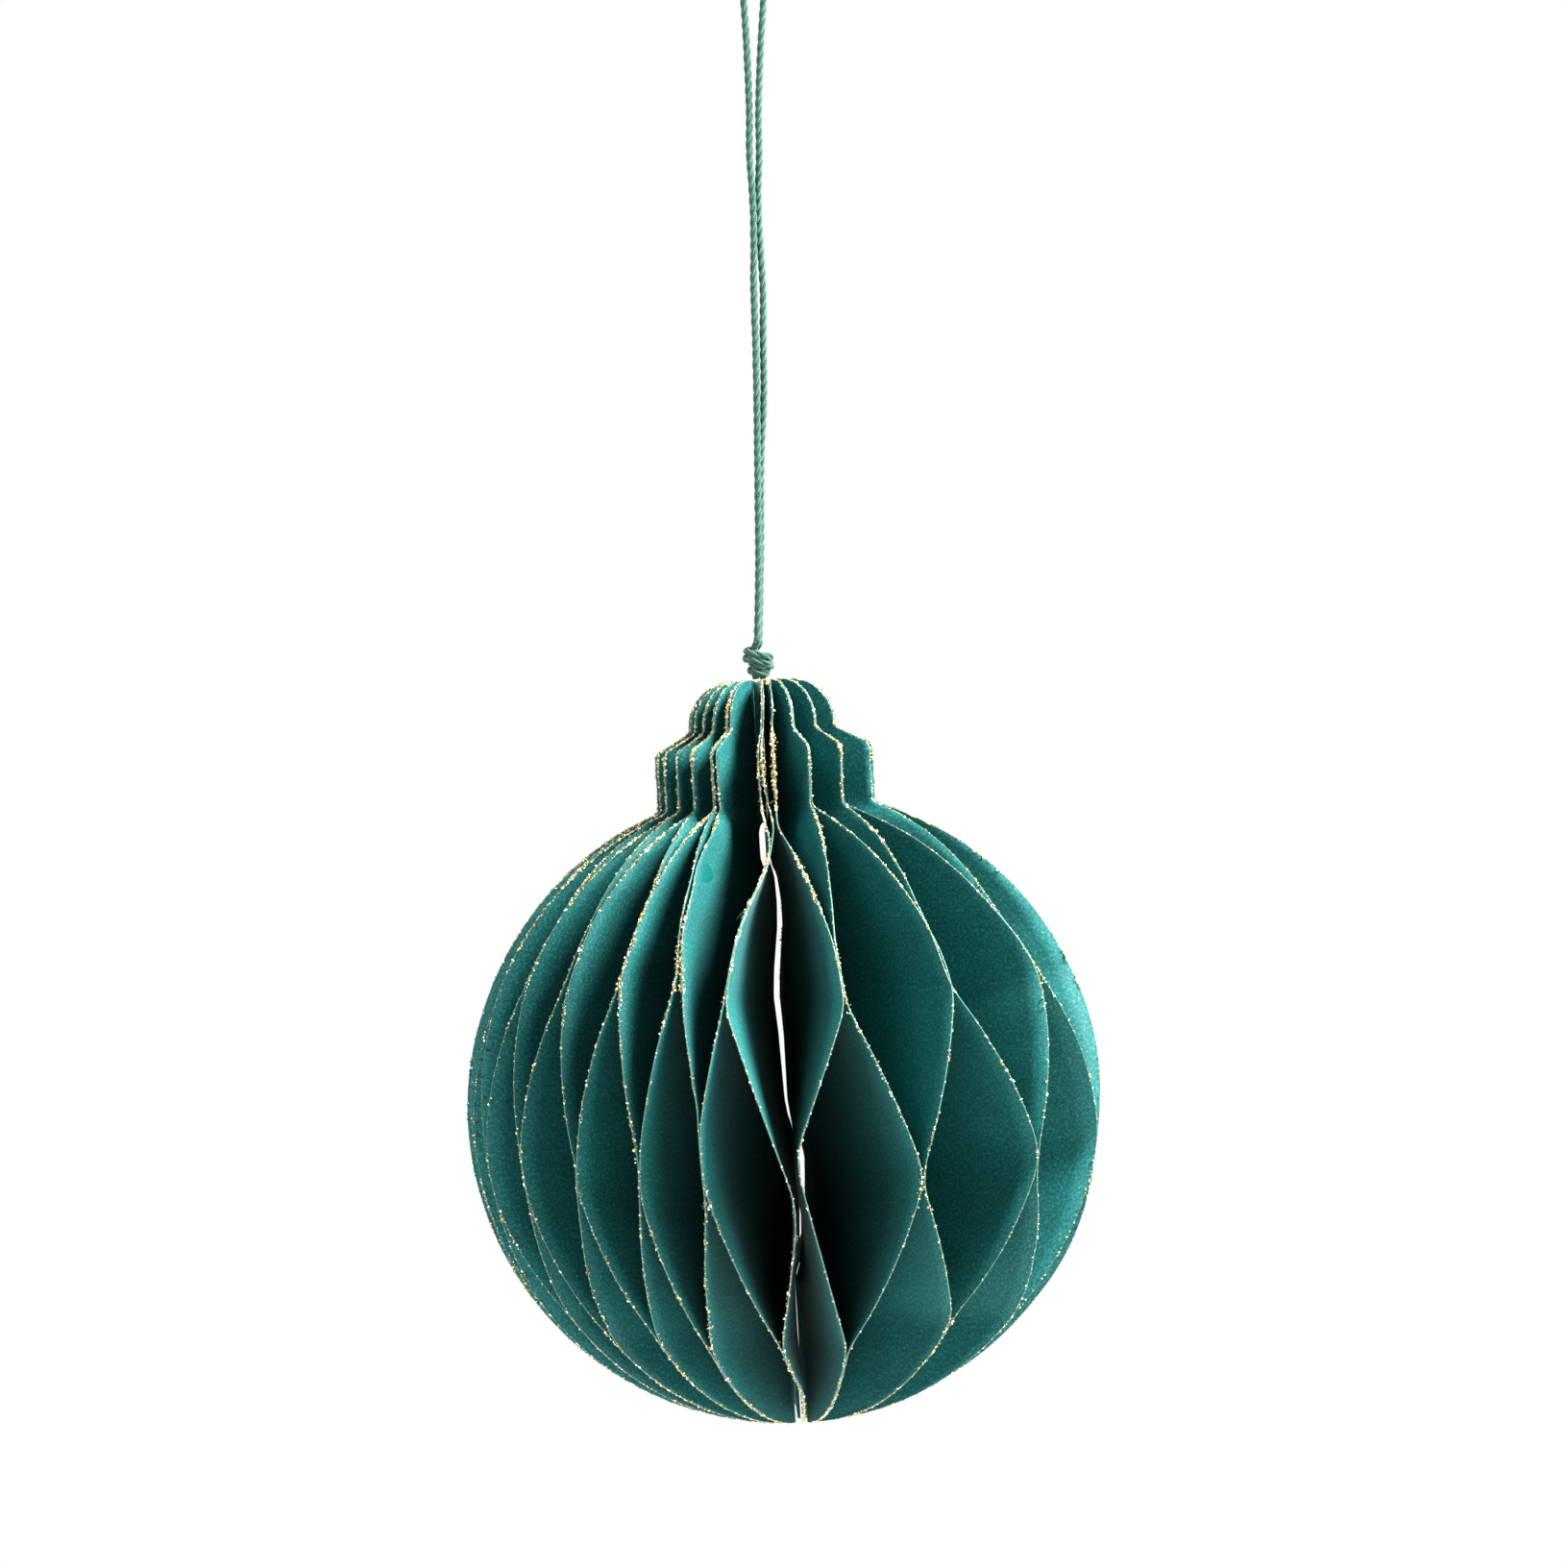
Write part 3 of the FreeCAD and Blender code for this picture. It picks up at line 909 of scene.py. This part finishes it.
# ---- studio ----
ROOM_LIGHT = 0.08
FLOOR_LIGHT = 0.25
LAMP_DISTANCE = 0.8
LAMP_SIZE = 0.34
# Name, azimuth and elevation in degrees, and watts
LAMPS = [
    ("key", 76, 50, 38.0),
    ("low", 64, -8, 2.4),
    ("side", 42, 8, 3.0),
    ("fill", -70, 10, 5.2),
    ("left", -45, 42, 2.6),
]
FLOOR_HEIGHT = -0.62


def add_area_light(name, azimuth, elevation, power, target):
    a = math.radians(azimuth)
    e = math.radians(elevation)
    direction = Vector((math.sin(a) * math.cos(e), -math.cos(a) * math.cos(e), math.sin(e)))
    data = bpy.data.lights.new(name, "AREA")
    data.shape = "SQUARE"
    data.size = LAMP_SIZE
    data.energy = power
    light = bpy.data.objects.new(name, data)
    light.location = target + direction * LAMP_DISTANCE
    light.rotation_euler = direction.to_track_quat("Z", "Y").to_euler()
    bpy.context.scene.collection.objects.link(light)


def seen_strength(tree, light):
    """A surround that looks white, and gives only this much light."""
    path = tree.nodes.new("ShaderNodeLightPath")
    strength = tree.nodes.new("ShaderNodeMapRange")
    strength.inputs["To Min"].default_value = light
    strength.inputs["To Max"].default_value = 1.0
    tree.links.new(path.outputs["Is Camera Ray"], strength.inputs["Value"])
    return strength.outputs["Result"]


def add_studio():
    middle = Vector(PIVOT - SPINE_UP * (KNOT_CLEARANCE + BALL_MIDDLE))
    for name, azimuth, elevation, power in LAMPS:
        add_area_light(name, azimuth, elevation, power, middle)
    world = bpy.data.worlds.new("studio")
    world.use_nodes = True
    tree = world.node_tree
    background = tree.nodes["Background"]
    background.inputs["Color"].default_value = (1.0, 1.0, 1.0, 1.0)
    tree.links.new(seen_strength(tree, ROOM_LIGHT), background.inputs["Strength"])
    bpy.context.scene.world = world
    bpy.context.scene.view_settings.view_transform = "Standard"
    corners = [(-2, -2), (2, -2), (2, 2), (-2, 2)]
    floor = mesh_object("floor", [(x, y, FLOOR_HEIGHT) for x, y in corners], [(0, 1, 2, 3)])
    material, tree, shader = new_material("pale_floor")
    shader.inputs["Base Color"].default_value = (0.86, 0.86, 0.86, 1.0)
    shader.inputs["Emission Color"].default_value = (1.0, 1.0, 1.0, 1.0)
    tree.links.new(seen_strength(tree, FLOOR_LIGHT), shader.inputs["Emission Strength"])
    shader.inputs["Roughness"].default_value = 0.9
    floor.data.materials.append(material)


add_camera()
add_cord()
add_tail()
for leaf_number in sorted(AZIMUTHS):
    add_leaf(leaf_number)
add_glue_spot()
add_whisker()
dress_pads()
add_studio()
